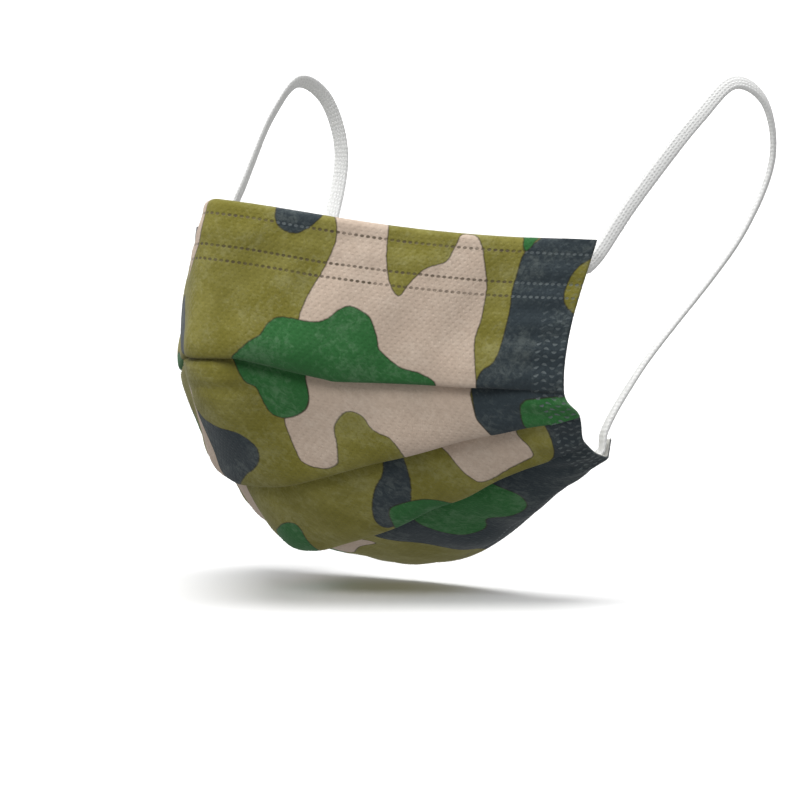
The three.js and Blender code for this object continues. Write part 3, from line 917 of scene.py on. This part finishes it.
def plain_nonwoven(name, code, cloud_and_shade_tone, strength):
    """Unprinted nonwoven: spunbond has crisp bond points, and meltblown is softer and greyer."""
    material, tree = new_material(name)
    place = fabric_place(tree)
    height, fibres = cloth_relief(tree, place)
    clouds = add_node(tree, "TexNoise", {
        "Vector": place, "Scale": 0.35, "Detail": 6.0, "Roughness": 0.7,
    })
    # The cloth is greyer in slow clouds of uneven fibre, which is its own tone, and in the lows of its bond
    # points and fibres, which is painted shading.
    mixed = add_node(tree, "Math", (clouds, 0.7, height), operation="MULTIPLY_ADD")
    share = add_node(tree, "MapRange", (mixed, 0.5, 1.5, 1.0, 0.0))
    colour = add_node(tree, "Mix", {SHARE: share, UNDER: linear(code), OVER: linear(cloud_and_shade_tone)}, **MIX)
    rough = add_node(tree, "MapRange", (fibres, *NOISE_RANGE, *PLAIN_ROUGH))
    finish_material(tree, colour, rough, (height, strength, CLOTH_RELIEF), IOR=CLOTH_IOR,
                    Specular_IOR_Level=0.25, Sheen_Weight=0.1, Sheen_Roughness=0.6)
    return material


RIB_PITCH = 0.62               # mm between the elastic's lengthwise ribs
STITCH_PITCH = 0.9             # mm along the ribs; real stitches are about half, drawn to show
PAD_PITCH = 1.1                # mm between the weld points of the elastic's flattened end
PAD_DOT = 0.3
KNIT_ROUGH = (0.72, 0.9)       # in the lows and on the highs of its fuzz
FLATTENED_ROUGH = (0.45, 0.65)
KNIT_RELIEF = 0.00015          # m
DRAWN_ROUGH = (0.34, 0.5)
DRAWN_RELIEF = 0.00005         # m
DRAWN_STRETCH = (0.15, 5.0, 1.0)


def ridges(tree, value, pitch):
    """Ridges at an even pitch: 0 in each valley and 1 on each crest."""
    share = add_node(tree, "Math", (value, pitch / 2), operation="PINGPONG")
    return add_node(tree, "Math", (share, 2 / pitch), operation="MULTIPLY")


def knitted_elastic(name, welded):
    """Knitted polyester over a rubber core: soft lengthwise ribs crossed by small stitches.
    Its welded end is pressed flat and glossier, with a grid of weld points."""
    material, tree = new_material(name)
    place = fabric_place(tree)
    across, along = (add_node(tree, "SeparateXYZ", (place,), out) for out in range(2))
    rib = ridges(tree, across, RIB_PITCH)
    slant = add_node(tree, "Math", (rib, 0.3, along), operation="MULTIPLY_ADD")
    stitch = ridges(tree, slant, STITCH_PITCH)
    height = add_node(tree, "Math", (rib, 0.8, stitch), operation="MULTIPLY_ADD")
    fuzz = add_node(tree, "TexNoise", {"Vector": place, "Scale": 3.0, "Detail": 4.0})
    height = add_node(tree, "Math", (fuzz, 0.8, height), operation="MULTIPLY_ADD")
    if welded:
        marks = dots(tree, across, PAD_PITCH, repeated(tree, along, PAD_PITCH), PAD_DOT, PAD_DOT)
        height = add_node(tree, "Math", (marks, -2.5, height), operation="MULTIPLY_ADD")
    # The lows of the ribs, stitches, fuzz and weld points are painted a little greyer: painted shading in
    # the lows of the relief.
    share = add_node(tree, "MapRange", (height, 0.3, 1.9, 1.0, 0.0))
    colour = add_node(tree, "Mix", {SHARE: share, UNDER: linear("#fdfdfc"), OVER: linear("#f1f2f0")}, **MIX)
    span = FLATTENED_ROUGH if welded else KNIT_ROUGH
    rough = add_node(tree, "MapRange", (fuzz, *NOISE_RANGE, *span))
    finish_material(tree, colour, rough, (height, 0.5, KNIT_RELIEF), IOR=1.5,
                    Specular_IOR_Level=0.3, Sheen_Weight=0.15, Sheen_Roughness=0.5)
    return material


def coated_wire(name):
    """Flat steel wire in a drawn polyethylene coat: smooth and waxy, with fine drawing lines."""
    material, tree = new_material(name)
    stretched = add_node(tree, "Mapping", {"Vector": fabric_place(tree), "Scale": DRAWN_STRETCH})
    lines = add_node(tree, "TexNoise", {"Vector": stretched, "Scale": 1.0, "Detail": 4.0})
    colour = add_node(tree, "Mix", {SHARE: lines, UNDER: linear("#c9cbca"), OVER: linear("#e2e3e1")}, **MIX)
    rough = add_node(tree, "MapRange", (lines, *NOISE_RANGE, *DRAWN_ROUGH))
    finish_material(tree, colour, rough, (lines, 0.25, DRAWN_RELIEF), IOR=1.51)
    return material


def painted_board(name, glow):
    """Matt painted studio board: plain and pale, with a barely visible tooth."""
    material, tree = new_material(name)
    place = add_node(tree, "TexCoord", out="Object")
    tooth = add_node(tree, "TexNoise", {"Vector": place, "Scale": 40.0, "Detail": 3.0})
    colour = add_node(tree, "Mix", {SHARE: tooth, UNDER: linear("#fbfbfb"), OVER: linear("#fdfdfd")}, **MIX)
    finish_material(tree, colour, 0.9, None, Specular_IOR_Level=0.1,
                    Emission_Color=(1, 1, 1, 1), Emission_Strength=float(glow))
    return material


PRINTED = printed_spunbond("spunbond_printed_camouflage", embossed=False)
SEALED = printed_spunbond("spunbond_printed_welded_seal", embossed=True)
LINING = plain_nonwoven("spunbond_white_lining", "#f3f3f0", "#dcdcd8", 0.5)
FILTER = plain_nonwoven("meltblown_white_filter", "#eef1f3", "#dfe3e6", 0.25)
ELASTIC = knitted_elastic("knitted_white_elastic", welded=False)
ELASTIC_WELD = knitted_elastic("knitted_white_elastic_welded_flat", welded=True)
WIRE = coated_wire("polyethylene_coated_wire")


def dress(piece, material, node):
    piece.data.materials.append(material)
    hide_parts(node)
    return piece


# ---------------------------------------------------------------- ear loops
VISIBLE_SEAL = 1.1             # mm, the seal as pressed by the weld
PAD_SINK = 0.08                # the elastic's welded end is pressed into the seal by this much
LOOP_POINTS = 110
LOOP_SIDES = 20
CLEAR_OF_WELD = 1.8
WELD_SEATS = (4, 1)            # mm from the seal's edge of the route's two points on each weld
LOOP_FREE = (1.5, 7)           # mm from its end: flattened up to the first, free past the second
WELD_MARGIN = 0.9              # the elastic enters its weld this much narrower than the weld
OVAL_POWER = 0.75              # below 1 squares the elastic's oval section a little


def weld_middle(column, from_top):
    return WELD_DROP if from_top else column.level(HEM_LEVEL) - WELD_DROP


def weld_exit(side, from_top):
    """Where the CAD's elastic leaves its weld, in mm."""
    column = Column(side)
    depth = SEAL_THICKNESS + PLY_GAP + ELASTIC_WIDTH / 2
    return Vector(column.place([weld_middle(column, from_top)], [depth])[0])


def on_seal(side, from_top, from_edge):
    column = Column(side * (1 - from_edge / HALF_WIDTH))
    depth = VISIBLE_SEAL + ELASTIC_THICKNESS / 2 - PAD_SINK
    return Vector(column.place([weld_middle(column, from_top)], [depth])[0])


def centripetal_curve(points, per_span):
    """Smooth curve through points, as the CAD's centripetal Catmull-Rom."""
    p = [np.array(v) for v in points]
    p = [2 * p[0] - p[1]] + p + [2 * p[-1] - p[-2]]
    made = []
    for i in range(1, len(p) - 2):
        before, start, end, after = p[i - 1:i + 3]
        spans = (start - before, end - start, after - end)
        d0, d1, d2 = (math.sqrt(np.linalg.norm(span)) for span in spans)
        leave = ((start - before) / d0 - (end - before) / (d0 + d1) + (end - start) / d1) * d1
        arrive = ((end - start) / d1 - (after - start) / (d1 + d2) + (after - end) / d2) * d1
        for t in np.linspace(0, 1, per_span, endpoint=False):
            made.append(
                start * (2 * t**3 - 3 * t**2 + 1) + end * (3 * t**2 - 2 * t**3)
                + leave * (t**3 - 2 * t**2 + t) + arrive * (t**3 - t**2)
            )
    return np.array(made + [p[-2]])


def evenly_along(line, count):
    lengths = np.concatenate([[0], np.cumsum(np.linalg.norm(np.diff(line, axis=0), axis=1))])
    marks = np.linspace(0, lengths[-1], count)
    return np.stack([np.interp(marks, lengths, line[:, k]) for k in range(3)], 1), marks


def turned(vector, axis, angle):
    """A vector turned round a unit axis."""
    return (
        vector * math.cos(angle) + np.cross(axis, vector) * math.sin(angle)
        + axis * (axis @ vector) * (1 - math.cos(angle))
    )


def carried_frames(line, first, last):
    """The band's width direction along the line, with its twist spread evenly between ends."""
    tangents = np.gradient(line, axis=0)
    tangents /= np.linalg.norm(tangents, axis=1)[:, None]
    wide = first - tangents[0] * (first @ tangents[0])
    wide /= np.linalg.norm(wide)
    frames = [wide]
    for a, b in zip(tangents, tangents[1:]):
        axis = np.cross(a, b)
        size = np.linalg.norm(axis)
        if size > 1e-9:
            wide = turned(wide, axis / size, math.asin(min(size, 1)))
        frames.append(wide)
    goal = last - tangents[-1] * (last @ tangents[-1])
    goal /= np.linalg.norm(goal)
    twist = math.atan2(np.cross(frames[-1], goal) @ tangents[-1], frames[-1] @ goal)
    if twist > math.pi / 2:
        twist -= math.pi
    elif twist < -math.pi / 2:
        twist += math.pi
    last_frame = len(frames) - 1
    spread = [turned(w, t, twist * i / last_frame) for i, (w, t) in enumerate(zip(frames, tangents))]
    return spread, tangents


def down_the_seal(side, from_top):
    column = Column(side)
    middle = weld_middle(column, from_top)
    ends = column.place([middle - 1, middle + 1], [0, 0])
    return (ends[1] - ends[0]) / np.linalg.norm(ends[1] - ends[0])


def loop_route(side):
    """From inside one weld, off the seal's edge, over and behind the ear, and back, in mm."""
    upper = weld_exit(side, True)
    lower = weld_exit(side, False)
    upper_way = Vector((side * UPPER_WAY.x, UPPER_WAY.y, UPPER_WAY.z))
    lower_way = Vector((side * LOWER_WAY.x, LOWER_WAY.y, LOWER_WAY.z))
    return [
        *[on_seal(side, True, from_edge) for from_edge in WELD_SEATS],
        upper + upper_way * CLEAR_OF_WELD, upper + upper_way * STRAIGHT_END,
        *[Vector((side * x, y, z)) for x, y, z in AROUND_EAR],
        lower + lower_way * STRAIGHT_END, lower + lower_way * CLEAR_OF_WELD,
        *[on_seal(side, False, from_edge) for from_edge in reversed(WELD_SEATS)],
    ]


def ear_loop(name, side):
    """A flat knitted elastic of oval section, flattened where it runs into its welds."""
    line, marks = evenly_along(centripetal_curve(loop_route(side), 16), LOOP_POINTS)
    wides, tangents = carried_frames(line, down_the_seal(side, True), down_the_seal(side, False))
    points, places = [], []
    total = marks[-1]
    for centre, wide, tangent, mark in zip(line, wides, tangents, marks):
        thick = np.cross(tangent, wide)
        from_end = min(mark, total - mark)
        free = float(smooth_step(*LOOP_FREE, from_end))
        half_width = (ELASTIC_WIDTH + (WELD_WIDTH - WELD_MARGIN - ELASTIC_WIDTH) * (1 - free)) / 2
        half_thick = (WELD_THICKNESS + (ELASTIC_THICKNESS - WELD_THICKNESS) * free) / 2
        for angle in np.arange(LOOP_SIDES) * 2 * math.pi / LOOP_SIDES:
            across, behind = (
                math.copysign(abs(way) ** OVAL_POWER, way) * half
                for way, half in ((math.cos(angle), half_width), (math.sin(angle), half_thick))
            )
            points.append(centre + wide * across + thick * behind)
            places.append((across, mark, 0))
    faces = []
    for r in range(LOOP_POINTS - 1):
        for i in range(LOOP_SIDES):
            a, b = r * LOOP_SIDES + i, r * LOOP_SIDES + (i + 1) % LOOP_SIDES
            faces.append((a, b, b + LOOP_SIDES, a + LOOP_SIDES))
    faces.append(tuple(range(LOOP_SIDES))[::-1])
    faces.append(tuple(range((LOOP_POINTS - 1) * LOOP_SIDES, LOOP_POINTS * LOOP_SIDES)))
    piece = new_object(name, np.array(points) * MM, faces)
    add_numbers(piece, "fabric", np.array(places, float))
    body = f"ear_loop_{'left' if side > 0 else 'right'}"
    dress(piece, ELASTIC, body)
    # The line between the two welds, and the way back square to it, which nothing uses.
    upper, lower = weld_exit(side, True), weld_exit(side, False)
    chord = (upper - lower).normalized()
    back = Vector((0, 1, 0)) - chord * chord.y
    back.normalize()
    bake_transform(piece)


for side_name, side in SIDES:
    ear_loop(f"elastic_ear_loop_{side_name}", side)

# ---------------------------------------------------------------- fabric panels
HIDDEN_PLIES = [
    ("filter_ply", FILTER_DEPTH, FILTER, "filter_nonwoven"),
    ("inner_ply", INNER_DEPTH, LINING, "white_nonwoven"),
]


PLEAT_LIFTS = {
    "cheek": (cheek_swell(0), cheek_swell(HIDDEN_SWELL_DELAY)),
    "mouth": (drape, drape),
    "chin": (drape, drape),
}


def hem_rows(columns, section_at):
    """The hem's print row for every vertex of a ribbon."""
    return np.concatenate([
        np.full(2 * len(section_at(column)[0]), column.level(HEM_LEVEL)) for column in columns
    ])


def add_hem_distance(piece, row, hem):
    """Distance in mm up from the hem, which the rows of weld points there follow."""
    add_numbers(piece, "hem_up", hem - row)


def settle(piece, panel, material, node, flat_length):
    """Gives a ply its finish and hides its CAD part. The nose panel's plies ride with the nose panel; the
    others stay where they are.
    """
    dress(piece, material, node)
    if panel == "nose":
        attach(piece, "nose_panel")
    elif panel == "chin":
        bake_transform(piece)
    else:
        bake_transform(piece)


def flat_length_of(columns, section_at):
    """Mean length in mm of the cut ply from its first row to its last."""
    return float(np.mean([np.ptp(section_at(column)[2]) for column in columns]))


def add_panel(panel, outer_section, other_section, lift_at, hidden_lift_at):
    piece, place, row = ribbon(
        f"{panel}_panel_printed_ply", FINE_COLUMNS, outer_section, ply_thickness, lift_at
    )
    add_print(piece, place, row, np.full(len(row), panel))
    hem = hem_rows(FINE_COLUMNS, outer_section) if panel == "chin" else row + NO_HEM
    add_hem_distance(piece, row, hem)
    settle(piece, panel, PRINTED, f"{panel}_panel_outer_ply",
           flat_length_of(FINE_COLUMNS, outer_section))
    for ply, depth, material, slot in HIDDEN_PLIES:
        section = other_section(depth)
        piece = ribbon(
            f"{panel}_panel_{ply}_sheet", COARSE_COLUMNS, section, ply_thickness, hidden_lift_at
        )[0]
        settle(piece, panel, material, f"{panel}_panel_{ply}",
               flat_length_of(COARSE_COLUMNS, section))


add_panel("nose", nose_outer, nose_other, nose_lift, nose_lift)
for number, (panel, lifts) in enumerate(PLEAT_LIFTS.items()):
    add_panel(panel, pleat_outer(number), partial(pleat_other, number), *lifts)


# ---------------------------------------------------------------- nose wire
WIRE_ROWS = 9
WIRE_ROUNDING = 0.24           # mm, how much thinner the coat is at the wire's edges
WIRE_COLUMN_STEP = 1.2


def full_loft(column):
    return 1.0


def wire_section(column):
    down = np.linspace(WIRE_DROP, WIRE_DROP + WIRE_WIDTH, WIRE_ROWS)
    rounding = WIRE_ROUNDING / 2 * np.abs(np.linspace(-1, 1, WIRE_ROWS)) ** 3
    return straight(down, np.full(WIRE_ROWS, WIRE_DEPTH) + rounding)


def wire_thickness(column, rows):
    middle = WIRE_DROP + WIRE_WIDTH / 2
    return WIRE_THICKNESS - WIRE_ROUNDING * np.abs((rows - middle) / (WIRE_WIDTH / 2)) ** 3


wire_columns = columns_every(WIRE_COLUMN_STEP, WIRE_HALF_LENGTH)
wire = ribbon("coated_nose_wire", wire_columns, wire_section, wire_thickness, nose_lift, full_loft)[0]
dress(wire, WIRE, "nose_wire")
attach(wire, "nose_panel")

# ---------------------------------------------------------------- side seals and welds
SEAL_PROUD = 0.06              # the seal's face stands this far before the panels that enter it
SEAL_INNER = HALF_WIDTH - SEAL_WIDTH
SEAL_ROUND = 0.5
SEAL_INNER_PAST = 0.25         # mm by which the strip's rounding runs on past its inner edge
SEAL_RIM = 0.3                 # share of its thickness that the strip keeps at its long edges
SEAL_END_RIM = 0.4             # and at its top and bottom
SEAL_ROWS = [38, 2, 12, 2, 12, 2, 22]
LEDGE = 0.35                   # half the length over which the seal steps at a fold


def shown_depth(column, down):
    """Depth of whichever panel shows at each place."""
    depth = np.zeros(len(down))
    for number, level in enumerate(FOLD_LEVELS):
        below = down > column.level(level)
        depth = np.where(below, shingle(column, number, down), depth)
    return depth


def shown_panel(column, down):
    """Which panel shows at each place."""
    panels = np.array(list(PRINT))
    return panels[sum((down > column.level(level)).astype(int) for level in FOLD_LEVELS)]


def seal_profile(column):
    """1 over most of the strip, and less at its two rounded edges."""
    from_edge = min(HALF_WIDTH - abs(column.mm), abs(column.mm) - SEAL_INNER + SEAL_INNER_PAST)
    t = min(max(from_edge, 0) / SEAL_ROUND, 1)
    return max(SEAL_RIM, math.sqrt(1 - (1 - t) ** 2))


def seal_section(column):
    stops = [0]
    for level in FOLD_LEVELS:
        stops += [column.level(level) - LEDGE, column.level(level) + LEDGE]
    stops.append(column.level(HEM_LEVEL))
    down = runs(*zip(stops, stops[1:], SEAL_ROWS))
    depth = shown_depth(column, down) * pressed(column) - SEAL_PROUD
    inset = (1 - seal_profile(column)) * VISIBLE_SEAL / 2
    return straight(down, depth + inset)


def seal_thickness(column, rows):
    ends = np.minimum(rows, column.level(HEM_LEVEL) - rows) / SEAL_ROUND
    round_ends = np.sqrt(1 - (1 - np.clip(ends, 0.05, 1)) ** 2)
    return VISIBLE_SEAL * seal_profile(column) * np.maximum(round_ends, SEAL_END_RIM)


WELD_OUTER = HALF_WIDTH - WELD_EDGE_SETBACK
SEAL_PLACES = [66.3, 66.5, 66.8, 67.4, 68.2, 69, 69.8, 70.6, 71.4, 72, 72.5, 72.7, 72.85, 72.95, 73]
PAD_ROWS = 13
PAD_EDGE = 0.08                # square of the share of its thickness that the rim keeps
PAD_CORNER = 0.16              # how far the ends draw in, as a share of the width
PAD_PLACES = np.linspace(WELD_OUTER - WELD_LENGTH, WELD_OUTER, 14)


def side_columns(side, places):
    return [Column(side * mm / HALF_WIDTH) for mm in (places if side > 0 else places[::-1])]


def add_weld(name, side, from_top, node):
    """The elastic's end, pressed flat on the back of the seal, with rounded corners."""
    def lengthwise(column):
        return abs(abs(column.mm) - WELD_OUTER + WELD_LENGTH / 2) / (WELD_LENGTH / 2)

    def section(column):
        middle = weld_middle(column, from_top)
        half = WELD_WIDTH / 2 * (1 - PAD_CORNER * lengthwise(column)**6)
        down = np.linspace(middle - half, middle + half, PAD_ROWS)
        return straight(down, np.full(PAD_ROWS, VISIBLE_SEAL - PAD_SINK))

    def thickness(column, rows):
        across = np.abs(np.linspace(-1, 1, PAD_ROWS))
        crown = np.sqrt(np.maximum(1 - across**6, PAD_EDGE))
        return (WELD_THICKNESS + PAD_SINK) * (crown * math.sqrt(max(1 - lengthwise(column)**8, PAD_EDGE)))

    piece = ribbon(name, side_columns(side, PAD_PLACES), section, thickness, drape, full_loft)[0]
    dress(piece, ELASTIC_WELD, node)
    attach(piece, "nose_panel")


for side_name, side in SIDES:
    columns = side_columns(side, SEAL_PLACES)
    seal, place, row = ribbon(
        f"welded_side_seal_{side_name}", columns, seal_section, seal_thickness, drape, full_loft
    )
    shown = [shown_panel(column, seal_section(column)[0]) for column in columns]
    panel_of = np.concatenate([np.concatenate([names, names[::-1]]) for names in shown])
    add_print(seal, place, row, panel_of)
    add_hem_distance(seal, row, hem_rows(columns, seal_section))
    dress(seal, SEALED, f"side_seal_{side_name}")
    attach(seal, "nose_panel")
    for end, from_top in (("upper", True), ("lower", False)):
        add_weld(f"elastic_weld_{end}_{side_name}", side, from_top, f"ear_loop_weld_{end}_{side_name}")

# ---------------------------------------------------------------- floor and light
FLOOR_Z = -0.0395
STUDIO_HALF = 4.0
BACKDROP_HEIGHT = 3.0
FLOOR_PAST_WALLS = 1           # m
SKY = 0.4
SOFTBOXES = [
    # (name, direction toward it, strength, how broad it looks in degrees)
    ("overhead_softbox", (-0.04, -0.1, 1), 2.4, 44),
    ("front_softbox", (0.15, -1, 0.85), 1.25, 30),
]


def add_stage_sheet(name, corners, material):
    """A flat board of the studio. It isn't part of the mask, and doesn't tint it by reflection."""
    sheet = new_object(name, corners, [(0, 1, 2, 3)])
    sheet.data.materials.append(material)
    sheet.visible_diffuse = False
    sheet.visible_glossy = False
    sheet.visible_shadow = False


def square(half):
    return [(-half, -half), (half, -half), (half, half), (-half, half)]


def add_studio():
    """A floor that runs on past four lit walls, so that each side has a plain white ground."""
    floor = [(*corner, FLOOR_Z) for corner in square(STUDIO_HALF + FLOOR_PAST_WALLS)]
    glowing = painted_board("lit_white_backdrop", 1)
    add_stage_sheet("studio_floor", floor, painted_board("matt_white_board", 0))
    corners = square(STUDIO_HALF)
    low, high = -BACKDROP_HEIGHT, BACKDROP_HEIGHT
    for number, (start, end) in enumerate(zip(corners, corners[1:] + corners[:1])):
        wall = [(*start, low), (*end, low), (*end, high), (*start, high)]
        add_stage_sheet(f"studio_backdrop_{number}", wall, glowing)


def add_softbox(name, toward, strength, breadth):
    """A broad even light from one direction, as from a large far softbox."""
    data = bpy.data.lights.new(name, "SUN")
    data.energy = strength
    data.angle = math.radians(breadth)
    lamp = bpy.data.objects.new(name, data)
    lamp.rotation_euler = Vector(toward).to_track_quat("Z", "Y").to_euler()
    bpy.context.scene.collection.objects.link(lamp)


def add_world():
    world = bpy.data.worlds.new("white_studio")
    world.use_nodes = True
    background = world.node_tree.nodes["Background"]
    background.inputs["Color"].default_value = (1, 1, 1, 1)
    background.inputs["Strength"].default_value = SKY
    bpy.context.scene.world = world


add_studio()
for softbox in SOFTBOXES:
    add_softbox(*softbox)
add_world()
bpy.context.scene.view_settings.view_transform = "Standard"
